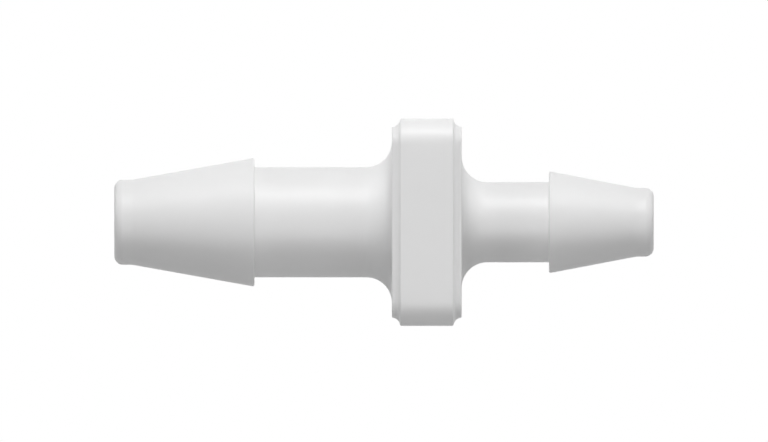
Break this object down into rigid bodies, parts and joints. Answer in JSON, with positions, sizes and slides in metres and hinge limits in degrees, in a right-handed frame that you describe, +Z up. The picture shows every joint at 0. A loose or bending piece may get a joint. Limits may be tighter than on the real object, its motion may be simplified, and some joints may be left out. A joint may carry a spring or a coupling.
{
  "type": "reducing hose nipple",
  "caption": "Straight plastic nipple that joins a wide hose to a narrow one: a barbed stem on each side of a square collar with coved edges, and a passage right through.",
  "frame": {"origin": "on the surface that the nipple lies on, under the middle of its box", "axes": "+Z up from that surface; +X towards the narrow end, level, with the nipple's own axis in the XZ plane and leaning up 12.4 degrees from +X, because the nipple rests on the wide tip and the collar's lower edge; +Y across, away from the picture's viewer"},
  "size_m": [0.0496, 0.019, 0.0196],
  "materials": {
    "polypropylene": "satin natural white, as moulded"
  },
  "bodies": {
    "root": {"hose_nipple": "polypropylene"}
  },
  "joints": []
}
